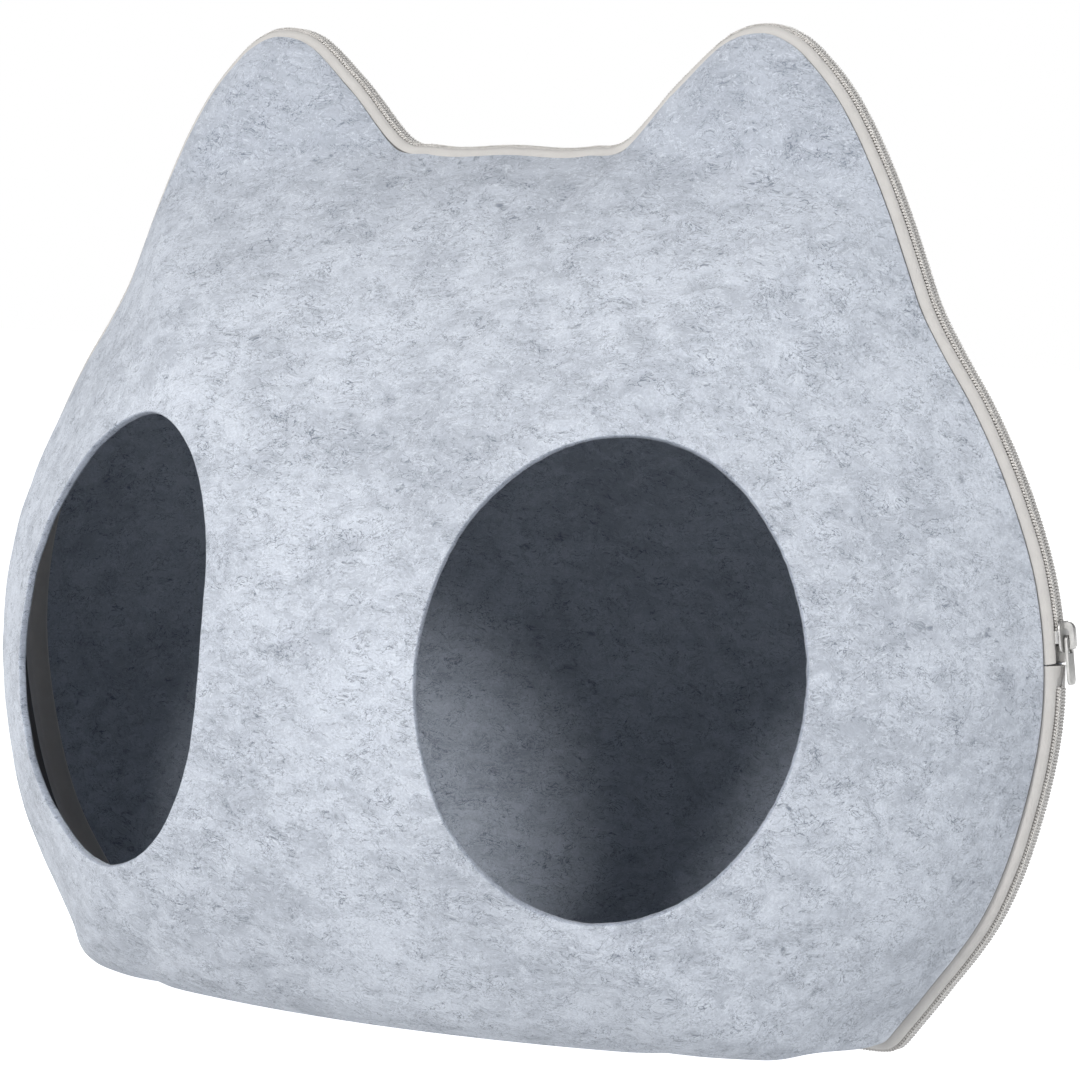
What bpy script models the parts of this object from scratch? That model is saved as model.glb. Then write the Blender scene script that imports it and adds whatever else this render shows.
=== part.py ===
# Cat bed: a felt cave in the form of a cat's head. A front half with two oval
# openings and a plain back half are joined by a zip that runs round the rim.
# X is across the head, Y runs from front to back with the zip in the plane
# Y = 0, Z is up and the flat base stands on Z = 0. Lengths are in metres.

import math

import bmesh
import bpy
import numpy as np

for item in list(bpy.data.objects):
    bpy.data.objects.remove(item, do_unlink=True)

# Crown of the dome: every outline below is polar about (0, CROWN_HEIGHT).
CROWN_HEIGHT = 0.141
# Rim of the head at the zip's crest, right half: angle in degrees, radius.
RIM = (
    (-50, 0.2109), (-42, 0.2389), (-36, 0.2347), (-30, 0.2364), (-20, 0.2436),
    (-10, 0.2470), (0, 0.2498), (10, 0.2493), (20, 0.2458), (28, 0.2434),
    (34, 0.2422), (38, 0.2438), (42, 0.2492), (46, 0.2562), (50, 0.2639),
    (54, 0.2721), (57, 0.2779), (60, 0.2824), (63, 0.2854), (66, 0.2836),
    (69, 0.2733), (72, 0.2506), (76, 0.2204), (80, 0.2137), (90, 0.2106),
)
BASE_CORNER = 0.003
BASE_FROM = 37.5
BASE_OVER = 5.0

# Dome of the face: it meets the seam at the sides and dies out against the
# ears along an oval. Power and fall are level, up and both-ends values.
DOME_DEPTH = 0.1390
DOME_POWER = (2.259, -0.169, -0.551)
DOME_FALL = (0.835, 0.290, -0.172)
HEAD_HALF_W = 0.2627
HEAD_ABOVE = 0.2096
HEAD_BELOW = 0.1694
HEAD_POWER = 3.06
HEAD_SIDE = 0.0005
EAR_DEPTH = 0.003
EDGE_DROP = 0.0055
EDGE_ROUND = 0.015
BASE_ROUND = 0.012
BLEND = 0.008

# Felt and its edge beside the zip.
FELT = 0.003
FELT_AT_SEAM = 0.0018
SEAM_TAPER = 0.008
SEAM_HALF = 0.0085
SEAM_INSET = 0.0045

# Eye openings: oval about a centre in X and Z, half width, half height.
EYE_X = 0.1148
EYE_Z = 0.1508
EYE_HALF_W = 0.0676
EYE_HALF_H = 0.0903
EYE_WAVES = ((1, 0.0043, -0.0434), (2, -0.0095, -0.0130), (3, 0.0174, 0.0025))

# Zip: half section of the tape as (distance from the middle, depth under the
# crest), at the sides and along the base, and the coil's oval.
TAPE = 0.0008
TAPE_SIDE = ((0.00035, 0.0027), (0.0033, 0.0027), (0.0066, 0.0041), (0.0079, 0.0095))
TAPE_BASE = ((0.00035, 0.0027), (0.0033, 0.0027), (0.0068, 0.0038), (0.0084, 0.0062))
TAPE_DIP = 0.0012
COIL_MIDDLE = 0.00175
COIL_DEPTH = 0.00125
COIL_HALF_W = 0.00155
COIL_HALF_H = 0.00110

# Slider, parked on the right side, and its pull.
SLIDER_ANGLE = 6.3
COIL_ENDS = (-3.0, -0.1)
TAPE_ENDS = (-2.3, -1.4)
SLIDER_LONG = 0.0114
SLIDER_WIDE = 0.0090
PLATE = 0.0011
BRIDGE_HIGH = 0.0036
BRIDGE_WIDE = 0.0026
PULL_LONG = 0.0190
PULL_WIDE = 0.0058
PULL_THICK = 0.0012

FACE_TURNS = 90
TRACK_TURNS = 106
COIL_SIDES = 6


def table_curve(table, angle):
    """Smooth curve through a table given for one half, mirrored at both ends."""
    a = np.array([row[0] for row in table], float)
    v = np.array([row[1] for row in table], float)
    a = np.concatenate([[-180 - a[1]], a, [180 - a[-2]]])
    v = np.concatenate([[v[1]], v, [v[-2]]])
    slope = np.gradient(v, a)
    i = np.clip(np.searchsorted(a, angle, side="right") - 1, 0, len(a) - 2)
    h = a[i + 1] - a[i]
    t = np.clip((angle - a[i]) / h, 0, 1)
    low = (1 + 2 * t) * (1 - t) ** 2 * v[i] + t * (1 - t) ** 2 * h * slope[i]
    high = t * t * (3 - 2 * t) * v[i + 1] + t * t * (t - 1) * h * slope[i + 1]
    return low + high


def fold(turn):
    """Angle above the horizontal of a direction, the same on both sides."""
    return np.degrees(np.arcsin(np.clip(np.sin(turn), -1, 1)))


def side_radius(turn):
    """Distance from the crown to the crest before the base is cut flat."""
    angle = fold(turn)
    low = RIM[0][0]
    return table_curve(RIM, np.clip(angle, low, 90)) + 0.0014 * np.maximum(low - angle, 0)


def soft_min(a, b, k):
    """The smaller of two lengths, rounded where they cross."""
    return -k * np.logaddexp(-a / k, -b / k)


def rim_radius(turn):
    """Distance from the crown to the zip's crest, cut flat along the base."""
    angle = fold(turn)
    side = side_radius(turn)
    below = np.minimum(np.sin(np.radians(angle)), -1e-3)
    base = CROWN_HEIGHT / -below
    return np.where(angle < -25, soft_min(side, base, BASE_CORNER), side)


def base_share(turn):
    """0 on the sides and ears, 1 along the flat base."""
    t = np.clip((-fold(turn) - BASE_FROM) / BASE_OVER, 0, 1)
    return t * t * (3 - 2 * t)


def rim_frame(turn):
    """Points of the crest in X, Z and the outward normals there."""
    step = 1e-3
    r = rim_radius(turn)
    before = rim_radius(turn - step)
    after = rim_radius(turn + step)
    x = r * np.cos(turn)
    z = CROWN_HEIGHT + r * np.sin(turn)
    tx = after * np.cos(turn + step) - before * np.cos(turn - step)
    tz = after * np.sin(turn + step) - before * np.sin(turn - step)
    size = np.hypot(tx, tz)
    return x, z, tz / size, -tx / size


def shell_radius(turn):
    """Radius of the felt: set in square to the crest at the sides, full at the base."""
    step = 1e-3
    r = rim_radius(turn)
    slope = (rim_radius(turn + step) - rim_radius(turn - step)) / (2 * step)
    return r - SEAM_INSET * np.hypot(r, slope) / r * (1 - base_share(turn))


def head_radius(turn):
    """Edge of the dome from the crown: an oval kept inside the seam at the sides."""
    across = np.abs(np.cos(turn)) / HEAD_HALF_W
    tall = np.where(np.sin(turn) > 0, HEAD_ABOVE, HEAD_BELOW)
    along = np.abs(np.sin(turn)) / tall
    oval = (across ** HEAD_POWER + along ** HEAD_POWER) ** (-1 / HEAD_POWER)
    return soft_min(oval, side_radius(turn) - SEAM_INSET + HEAD_SIDE, BASE_CORNER)


def face_depth(turn, rho):
    """How far the felt stands in front of its seam, at a distance rho from the crown."""
    step = 1e-3
    r = shell_radius(turn)
    slope = (shell_radius(turn + step) - shell_radius(turn - step)) / (2 * step)
    lean = r / np.hypot(r, slope)
    u = np.clip(rho / head_radius(turn), 0, 1)
    rise = np.sin(turn)
    power = DOME_POWER[0] + DOME_POWER[1] * rise + DOME_POWER[2] * rise * rise
    fall = DOME_FALL[0] + DOME_FALL[1] * rise + DOME_FALL[2] * rise * rise
    dome = DOME_DEPTH * np.maximum(1 - u ** power, 0) ** fall
    face = 0.5 * (dome + EAR_DEPTH + np.sqrt((dome - EAR_DEPTH) ** 2 + BLEND ** 2))
    base = base_share(turn)
    width = EDGE_ROUND * (1 - base) + BASE_ROUND * base
    drop = EDGE_DROP * (1 - base) + BASE_ROUND * base
    q = 1 - np.clip((r - rho) * lean / width, 0, 1)
    round_off = q ** 2 * (1 - base) + (1 - np.sqrt(np.maximum(1 - q ** 2, 0))) * base
    return face - drop * round_off


def spaced_turns(start, end, count):
    """Turns from start to end, closer together where the rim bends."""
    fine = np.linspace(start, end, 4000)
    x, z, nx, nz = rim_frame(fine)
    bend = np.abs(np.diff(np.unwrap(np.arctan2(nz, nx))))
    run = np.hypot(np.diff(x), np.diff(z))
    total = np.concatenate([[0], np.cumsum(run / 0.020 + bend / 0.14)])
    return np.interp(np.linspace(0, total[-1], count), total, fine)


def outer_skin():
    """Rows of points from the seam inwards to the crown, one of them in the ears' valley."""
    half = spaced_turns(-math.pi / 2, math.pi / 2, FACE_TURNS // 2 + 1)
    turn = np.concatenate([half, math.pi - half[-2:0:-1]])
    r = shell_radius(turn)
    wall = face_depth(turn, r)
    valley = np.minimum(head_radius(turn), r - 0.034)
    distances = [r - d for d in (0, 0.0010, 0.0040, 0.0090, 0.0155)]
    distances += [distances[-1] * (1 - t) + valley * t for t in (0.5, 1.0)]
    distances += [valley * (1 - t) for t in (0.07, 0.18, 0.32, 0.48, 0.65, 0.83)]
    rows = []
    for share in (0.0, 0.5):
        rows.append(np.stack([r * np.cos(turn), -SEAM_HALF - wall * share, CROWN_HEIGHT + r * np.sin(turn)], 1))
    for rho in distances:
        depth = face_depth(turn, rho)
        rows.append(np.stack([rho * np.cos(turn), -SEAM_HALF - depth, CROWN_HEIGHT + rho * np.sin(turn)], 1))
    return np.array(rows)


def skin_normals(rows):
    """Outward normals of the outer skin from its own grid."""
    around = np.roll(rows, -1, 1) - np.roll(rows, 1, 1)
    across = np.gradient(rows, axis=0)
    normal = np.cross(around, across)
    normal /= np.linalg.norm(normal, axis=2, keepdims=True)
    normal[0, :, 1] = 0
    normal[0] /= np.linalg.norm(normal[0], axis=1, keepdims=True)
    return normal


def add_object(name, points, faces, colour, rough, metal=0.0, smooth_angle=None):
    """Mesh object with its own material, normals facing out."""
    mesh = bpy.data.meshes.new(name)
    mesh.from_pydata([tuple(map(float, p)) for p in points], [], faces)
    work = bmesh.new()
    work.from_mesh(mesh)
    bmesh.ops.recalc_face_normals(work, faces=work.faces)
    work.to_mesh(mesh)
    work.free()
    item = bpy.data.objects.new(name, mesh)
    bpy.context.scene.collection.objects.link(item)
    for face in mesh.polygons:
        face.use_smooth = True
    if smooth_angle is not None:
        mesh.set_sharp_from_angle(angle=math.radians(smooth_angle))
    give_material(item, colour, rough, metal)
    return item


def give_material(item, colour, rough, metal=0.0):
    """Plain Principled material named after the object."""
    paint = bpy.data.materials.new(item.name)
    paint.use_nodes = True
    shader = paint.node_tree.nodes["Principled BSDF"]
    shader.inputs["Base Color"].default_value = (*colour, 1)
    shader.inputs["Roughness"].default_value = rough
    shader.inputs["Metallic"].default_value = metal
    item.data.materials.clear()
    item.data.materials.append(paint)


def split_faces(item):
    """Triangulate, so that curved quads are cut along true planes."""
    work = bmesh.new()
    work.from_mesh(item.data)
    bmesh.ops.triangulate(work, faces=work.faces)
    work.to_mesh(item.data)
    work.free()


def apply_boolean(item, tool, operation="DIFFERENCE"):
    """Exact boolean, applied at once, and the tool removed."""
    split_faces(item)
    split_faces(tool)
    step = item.modifiers.new("cut", "BOOLEAN")
    step.operation = operation
    step.solver = "EXACT"
    step.object = tool
    tool.hide_render = True
    tool.display_type = "WIRE"
    graph = bpy.context.evaluated_depsgraph_get()
    result = bpy.data.meshes.new_from_object(item.evaluated_get(graph))
    item.modifiers.clear()
    item.data = result
    bpy.data.objects.remove(tool, do_unlink=True)


def shell(name, side, colour):
    """Moulded half: outer skin, inner skin and the strip that joins them."""
    outer = outer_skin()
    count = len(outer)
    normal = skin_normals(outer)
    run = np.linalg.norm(np.diff(outer, axis=0, prepend=outer[:1]), axis=2).cumsum(0)
    thick = FELT_AT_SEAM + (FELT - FELT_AT_SEAM) * np.clip(run / SEAM_TAPER, 0, 1)
    inner = outer - normal * thick[:, :, None]
    behind = SEAM_HALF + 0.0001 * np.arange(count)[:, None]
    inner[:, :, 1] = np.minimum(inner[:, :, 1], -behind)
    crown = -SEAM_HALF - float(face_depth(np.array([0.0]), np.array([0.0]))[0])
    tips = np.array([[0, crown, CROWN_HEIGHT], [0, crown + FELT, CROWN_HEIGHT]])
    points = np.concatenate([outer.reshape(-1, 3), inner.reshape(-1, 3), tips])
    points[:, 1] *= side
    n = FACE_TURNS
    faces = []
    for j in range(n):
        k = (j + 1) % n
        for i in range(count - 1):
            a, b = i * n, (i + 1) * n
            faces.append((a + j, a + k, b + k, b + j))
            a, b = a + count * n, b + count * n
            faces.append((a + j, b + j, b + k, a + k))
        last = (count - 1) * n
        faces.append((last + j, last + k, 2 * count * n))
        faces.append((count * n + last + k, count * n + last + j, 2 * count * n + 1))
        faces.append((j, count * n + j, count * n + k, k))
    return add_object(name, points, faces, colour, 0.95, smooth_angle=50)


def eye_outline(side, turns=56):
    """Oval of one opening, laid on the outer skin, with the normals there."""
    t = np.arange(turns) * 2 * math.pi / turns
    r = 1 / np.hypot(np.cos(t) / EYE_HALF_W, np.sin(t) / EYE_HALF_H)
    r *= 1 + sum(c * np.cos(w * t) + s * np.sin(w * t) for w, c, s in EYE_WAVES)
    x = EYE_X + r * np.cos(t)
    z = EYE_Z + r * np.sin(t)

    def height(px, pz):
        turn = np.arctan2(pz - CROWN_HEIGHT, px)
        return -SEAM_HALF - face_depth(turn, np.hypot(px, pz - CROWN_HEIGHT))

    step = 5e-4
    y = height(x, z)
    slope_x = (height(x + step, z) - height(x - step, z)) / (2 * step)
    slope_z = (height(x, z + step) - height(x, z - step)) / (2 * step)
    normal = np.stack([slope_x, -np.ones_like(x), slope_z], 1)
    normal /= np.linalg.norm(normal, axis=1, keepdims=True)
    points = np.stack([x, y, z], 1)
    points[:, 0] *= side
    normal[:, 0] *= side
    return points, normal


def eye_cutter(side):
    """Plug that leaves an edge square to the felt all round the opening."""
    points, normal = eye_outline(side)
    n = len(points)
    middle = points.mean(0)
    lean = normal.mean(0)
    lean /= np.linalg.norm(lean)
    rings = [points + normal * 0.006, points, points - normal * 0.006]
    tips = np.array([middle + lean * 0.070, middle - lean * 0.004])
    every = np.concatenate(rings + [tips])
    faces = []
    for j in range(n):
        k = (j + 1) % n
        faces.append((j, k, n + k, n + j))
        faces.append((n + j, n + k, 2 * n + k, 2 * n + j))
        faces.append((k, j, 3 * n))
        faces.append((2 * n + j, 2 * n + k, 3 * n + 1))
    return add_object("eye_cutter", every, faces, (0.5, 0.5, 0.5), 0.5)


def track_turns(ends):
    """Turns from just under the slider, down and all the way round, to it."""
    start = math.radians(SLIDER_ANGLE + ends[0])
    end = math.radians(SLIDER_ANGLE + ends[1]) - 2 * math.pi
    return spaced_turns(start, end, TRACK_TURNS)


def sweep(name, side, sections, turn, colour, rough):
    """Carry a closed half section, in (off the middle, depth), round the rim."""
    x, z, nx, nz = rim_frame(turn)
    count = sections.shape[1]
    off = sections[:, :, 0]
    depth = sections[:, :, 1]
    points = np.stack([
        x[:, None] - nx[:, None] * depth,
        side * off,
        z[:, None] - nz[:, None] * depth,
    ], 2).reshape(-1, 3)
    faces = []
    rows = len(turn)
    for i in range(rows - 1):
        for j in range(count):
            k = (j + 1) % count
            faces.append((i * count + j, i * count + k, (i + 1) * count + k, (i + 1) * count + j))
    faces.append(tuple(range(count)))
    faces.append(tuple(reversed(range((rows - 1) * count, rows * count))))
    return add_object(name, points, faces, colour, rough, smooth_angle=50)


def tape(name, side, colour):
    """Half of the zip's tape, from under its coil to under the felt."""
    turn = track_turns(TAPE_ENDS)
    base = base_share(turn)[:, None, None]
    top = np.array(TAPE_SIDE)[None] * (1 - base) + np.array(TAPE_BASE)[None] * base
    top[:, :, 1] += 0.0003 * base[:, :, 0]
    top[:, 2:, 1] += TAPE_DIP * 4 * (base * (1 - base))[:, :, 0]
    near = np.abs((np.degrees(turn) - SLIDER_ANGLE + 1.1 + 180) % 360 - 180)
    top[:, :2, 0] += 0.0010 * np.clip(2.2 - near, 0, 1)[:, None]
    along = np.gradient(top, axis=1)
    size = np.linalg.norm(along, axis=2)
    under = np.stack([-along[:, :, 1] / size, along[:, :, 0] / size], 2)
    low = top + under * TAPE
    return sweep(name, side, np.concatenate([top, low[:, ::-1]], 1), turn, colour, 0.85)


def coil(name, side, colour):
    """Coil along the edge of one tape."""
    turn = track_turns(COIL_ENDS)
    base = base_share(turn)
    t = np.arange(COIL_SIDES) * 2 * math.pi / COIL_SIDES
    off = COIL_MIDDLE + COIL_HALF_W * np.cos(t)
    depth = COIL_DEPTH + COIL_HALF_H * np.sin(t)
    section = np.stack([
        np.repeat(off[None], len(turn), 0),
        depth[None] + 0.0003 * base[:, None],
    ], 2)
    return sweep(name, side, section, turn, colour, 0.6)


def slider_frame():
    """Origin on the crest at the slider, with outward and upward directions."""
    turn = np.array([math.radians(SLIDER_ANGLE)])
    x, z, nx, nz = (float(v[0]) for v in rim_frame(turn))
    out = np.array([nx, 0.0, nz])
    up = np.array([-nz, 0.0, nx])
    return np.array([x, 0.0, z]), out, up


def outline_block(name, outline, low, high, plane):
    """Outline extruded between two values of the axis it leaves out."""
    start, out, up = slider_frame()
    side = np.array([0.0, 1.0, 0.0])
    points = []
    for level in (low, high):
        for a, b in outline:
            if plane == "face":
                points.append(start + out * level + side * a + up * b)
            else:
                points.append(start + out * a + up * b + side * level)
    n = len(outline)
    faces = [tuple(reversed(range(n))), tuple(range(n, 2 * n))]
    faces += [(i, (i + 1) % n, n + (i + 1) % n, n + i) for i in range(n)]
    return add_object(name, points, faces, (0.7, 0.7, 0.69), 0.4, 1.0, smooth_angle=35)


def box(y0, y1, z0, z1):
    """Corners of a rectangle."""
    return ((y0, z0), (y1, z0), (y1, z1), (y0, z1))


def slider():
    """Two plates joined by a post, side lips over the coil, and the bridge."""
    half = SLIDER_WIDE / 2
    top = SLIDER_LONG / 2
    plate = (
        (-half * 0.72, -top), (half * 0.72, -top), (half, -top * 0.45), (half, top * 0.55),
        (half * 0.78, top), (-half * 0.78, top), (-half, top * 0.55), (-half, -top * 0.45),
    )
    body = outline_block("zip_slider", plate, 0.0004, 0.0004 + PLATE, "face")
    under = outline_block("under", plate, -0.0046 - PLATE, -0.0046, "face")
    post = outline_block("post", box(-0.0009, 0.0009, -top + 0.0002, -top + 0.0026), -0.0050, 0.0010, "face")
    parts = [under, post]
    for s in (-1, 1):
        near, far = sorted((s * (half - 0.0001), s * (half - 0.0010)))
        edge = box(near, far, -top * 0.4, top * 0.5)
        parts.append(outline_block("lip", edge, -0.0020, 0.0010, "face"))
    high = 0.0004 + PLATE + BRIDGE_HIGH
    low = 0.0004 + PLATE - 0.0003
    arch = (
        (low, 0.0046), (high - 0.0012, 0.0046), (high, 0.0030), (high, -0.0030), (high - 0.0010, -0.0042),
        (low, -0.0042), (low, -0.0030), (high - 0.0016, -0.0030), (high - 0.0012, -0.0024),
        (high - 0.0012, 0.0026), (high - 0.0017, 0.0033), (low, 0.0033),
    )
    parts.append(outline_block("bridge", arch, -BRIDGE_WIDE / 2, BRIDGE_WIDE / 2, "side"))
    for piece in parts:
        apply_boolean(body, piece, "UNION")
    for face in body.data.polygons:
        face.use_smooth = True
    body.data.set_sharp_from_angle(angle=math.radians(35))
    give_material(body, (0.68, 0.68, 0.67), 0.35, 1.0)
    return body


def pull():
    """Flat tab with a window that hangs on the bridge."""
    low = 0.0004 + PLATE + 0.0004
    half = PULL_WIDE / 2
    top = 0.0005
    end = top - PULL_LONG
    plate = (
        (-half * 0.8, top), (half * 0.8, top), (half, top - 0.0012), (half * 0.92, end + 0.0016),
        (half * 0.55, end), (-half * 0.55, end), (-half * 0.92, end + 0.0016), (-half, top - 0.0012),
    )
    tab = outline_block("zip_pull", plate, low, low + PULL_THICK, "face")
    window = outline_block("window", box(-0.0017, 0.0017, -0.0062, -0.0010), low - 0.001, low + 0.003, "face")
    apply_boolean(tab, window)
    for face in tab.data.polygons:
        face.use_smooth = True
    tab.data.set_sharp_from_angle(angle=math.radians(35))
    give_material(tab, (0.68, 0.68, 0.67), 0.35, 1.0)
    return tab


front = shell("front_shell", 1, (0.60, 0.64, 0.69))
for eye_side in (1, -1):
    apply_boolean(front, eye_cutter(eye_side))
front.data.set_sharp_from_angle(angle=math.radians(50))
give_material(front, (0.60, 0.64, 0.69), 0.95)
shell("back_shell", -1, (0.60, 0.64, 0.69))
tape("zip_tape_front", -1, (0.56, 0.54, 0.51))
tape("zip_tape_back", 1, (0.56, 0.54, 0.51))
coil("zip_coil_front", -1, (0.52, 0.50, 0.47))
coil("zip_coil_back", 1, (0.52, 0.50, 0.47))
slider()
pull()
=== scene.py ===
import math

import bpy
import numpy as np
from mathutils import Matrix, Vector
from mathutils.geometry import delaunay_2d_cdt


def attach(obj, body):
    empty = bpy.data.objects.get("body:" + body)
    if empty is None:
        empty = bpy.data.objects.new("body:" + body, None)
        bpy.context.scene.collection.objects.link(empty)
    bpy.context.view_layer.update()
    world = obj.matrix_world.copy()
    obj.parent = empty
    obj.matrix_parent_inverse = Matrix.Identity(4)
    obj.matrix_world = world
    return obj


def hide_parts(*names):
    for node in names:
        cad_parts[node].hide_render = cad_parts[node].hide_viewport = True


# Felt cat cave in the form of a cat's head: two moulded felt halves, oval
# openings in the front one, and a coil zip round the rim. Metres, +Z up,
# the zip lies in the plane Y = 0 and the face looks towards -Y.

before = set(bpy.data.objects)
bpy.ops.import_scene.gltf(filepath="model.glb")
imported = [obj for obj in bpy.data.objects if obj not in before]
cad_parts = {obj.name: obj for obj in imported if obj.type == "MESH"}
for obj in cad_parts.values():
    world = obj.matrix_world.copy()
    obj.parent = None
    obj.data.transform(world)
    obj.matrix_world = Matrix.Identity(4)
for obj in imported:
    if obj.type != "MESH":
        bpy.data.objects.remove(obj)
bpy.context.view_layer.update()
print("frame loaded:", len(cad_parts), "nodes")

head = {
    "crown": 0.141,  # height of the point every polar outline is about
    "rim": (
        (-50, 0.2109), (-42, 0.2389), (-36, 0.2347), (-30, 0.2364), (-20, 0.2436),
        (-10, 0.2470), (0, 0.2498), (10, 0.2493), (20, 0.2458), (28, 0.2434),
        (34, 0.2422), (38, 0.2438), (42, 0.2492), (46, 0.2562), (50, 0.2639),
        (54, 0.2721), (57, 0.2779), (60, 0.2824), (63, 0.2854), (66, 0.2836),
        (69, 0.2733), (72, 0.2506), (76, 0.2204), (80, 0.2137), (90, 0.2106),
    ),
    "baseCorner": 0.003,
    "baseTurn": (37.5, 5.0),  # degrees down where the flat base starts, and over how many
    "domeDepth": 0.1390,
    "domePower": (2.259, -0.169, -0.551),  # level, up, both ends
    "halfWidth": 0.2627,
    "above": 0.2096,
    "below": 0.1694,
    "ovalPower": 3.06,
    "sideMargin": 0.0005,
    "fall": (0.835, 0.290, -0.172),
    "earDepth": 0.003,
    "blend": 0.008,
    "edgeDrop": 0.0055,
    "edgeRound": 0.015,
    "baseRound": 0.012,
    "seamHalf": 0.0085,  # the felt starts this far from the zip's middle
    "seamInset": 0.0045,  # and this far inside the zip's crest
}


# Hermite curve through the table, mirrored at both ends:
# v = (1+2t)(1-t)^2 v0 + t(1-t)^2 h s0 + t^2(3-2t) v1 + t^2(t-1) h s1
def tableCurve(table, angle):
    a = np.array([row[0] for row in table], float)
    v = np.array([row[1] for row in table], float)
    a = np.concatenate([[-180 - a[1]], a, [180 - a[-2]]])
    v = np.concatenate([[v[1]], v, [v[-2]]])
    slope = np.gradient(v, a)
    i = np.clip(np.searchsorted(a, angle, side="right") - 1, 0, len(a) - 2)
    h = a[i + 1] - a[i]
    t = np.clip((angle - a[i]) / h, 0, 1)
    low = (1 + 2 * t) * (1 - t) ** 2 * v[i] + t * (1 - t) ** 2 * h * slope[i]
    high = t * t * (3 - 2 * t) * v[i + 1] + t * t * (t - 1) * h * slope[i + 1]
    return low + high


# angle above the level, the same on both sides: asin(sin(turn))
def fold(turn):
    return np.degrees(np.arcsin(np.clip(np.sin(turn), -1, 1)))


# the smaller of two lengths, rounded: -k log(exp(-a / k) + exp(-b / k))
def softMin(a, b):
    k = head["baseCorner"]
    return -k * np.logaddexp(-a / k, -b / k)


# the table's curve, going on at 1.4 mm a degree under its lowest angle
def sideRadius(turn):
    angle, low = fold(turn), head["rim"][0][0]
    return tableCurve(head["rim"], np.clip(angle, low, 90)) + 0.0014 * np.maximum(low - angle, 0)


# rim = soft minimum of the side and the flat base, crown / sin(angle below)
def rimRadius(turn):
    angle, side = fold(turn), sideRadius(turn)
    base = head["crown"] / np.maximum(-np.sin(np.radians(angle)), 1e-3)
    return np.where(angle < -25, softMin(side, base), side)


# 0 on the sides and ears, 1 along the base, smoothstep over a few degrees
def baseShare(turn):
    start, over = head["baseTurn"]
    t = np.clip((-fold(turn) - start) / over, 0, 1)
    return t * t * (3 - 2 * t)


# felt edge: the inset is square to the rim, inset x sqrt(r^2 + r'^2) / r along it
def shellRadius(turn):
    step = 1e-3
    r = rimRadius(turn)
    slope = (rimRadius(turn + step) - rimRadius(turn - step)) / (2 * step)
    return r - head["seamInset"] * np.hypot(r, slope) / r * (1 - baseShare(turn))


# point at turn, crown + r (cos, sin), and the normal: its tangent turned by 90 degrees
def outlineFrame(radius, turn):
    step = 1e-3
    r, before, after = radius(turn), radius(turn - step), radius(turn + step)
    x, z = r * np.cos(turn), head["crown"] + r * np.sin(turn)
    tx = after * np.cos(turn + step) - before * np.cos(turn - step)
    tz = after * np.sin(turn + step) - before * np.sin(turn - step)
    size = np.hypot(tx, tz)
    return x, z, tz / size, -tx / size


# turns of a path, spaced by length and by bend: integral of ds / run + |d heading| / bend
def spacedTurns(radius, start, end, count, run, bend):
    fine = np.linspace(start, end, 6000)
    x, z, nx, nz = outlineFrame(radius, fine)
    turnBy = np.abs(np.diff(np.unwrap(np.arctan2(nz, nx))))
    length = np.hypot(np.diff(x), np.diff(z))
    total = np.concatenate([[0], np.cumsum(length / run + turnBy / bend)])
    return np.interp(np.linspace(0, total[-1], count), total, fine)


# depth of the felt in front of its seam: a dome D (1 - u^p)^fall over an oval
# kept inside the seam, blended with the ears' flat depth by
# 0.5 (a + b + sqrt((a - b)^2 + k^2)), less a drop x q^2 near the rim (a
# quarter ellipse along the base), q = 1 - distance / width
def faceDepth(x, z, rimDistance):
    turn = np.arctan2(z - head["crown"], x)
    rise = np.sin(turn)
    across = np.abs(np.cos(turn)) / head["halfWidth"]
    along = np.abs(rise) / np.where(rise > 0, head["above"], head["below"])
    oval = (across ** head["ovalPower"] + along ** head["ovalPower"]) ** (-1 / head["ovalPower"])
    edge = softMin(oval, sideRadius(turn) - head["seamInset"] + head["sideMargin"])
    u = np.clip(np.hypot(x, z - head["crown"]) / edge, 0, 1)
    power, fall = (a + b * rise + c * rise * rise for a, b, c in (head["domePower"], head["fall"]))
    dome = head["domeDepth"] * (1 - u ** power) ** fall
    ear = head["earDepth"]
    face = 0.5 * (dome + ear + np.sqrt((dome - ear) ** 2 + head["blend"] ** 2))
    base = baseShare(turn)
    width = head["edgeRound"] * (1 - base) + head["baseRound"] * base
    drop = head["edgeDrop"] * (1 - base) + head["baseRound"] * base
    q = 1 - np.clip(rimDistance / width, 0, 1)
    roundOff = q ** 2 * (1 - base) + (1 - np.sqrt(np.maximum(1 - q ** 2, 0))) * base
    return face - drop * roundOff


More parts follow.
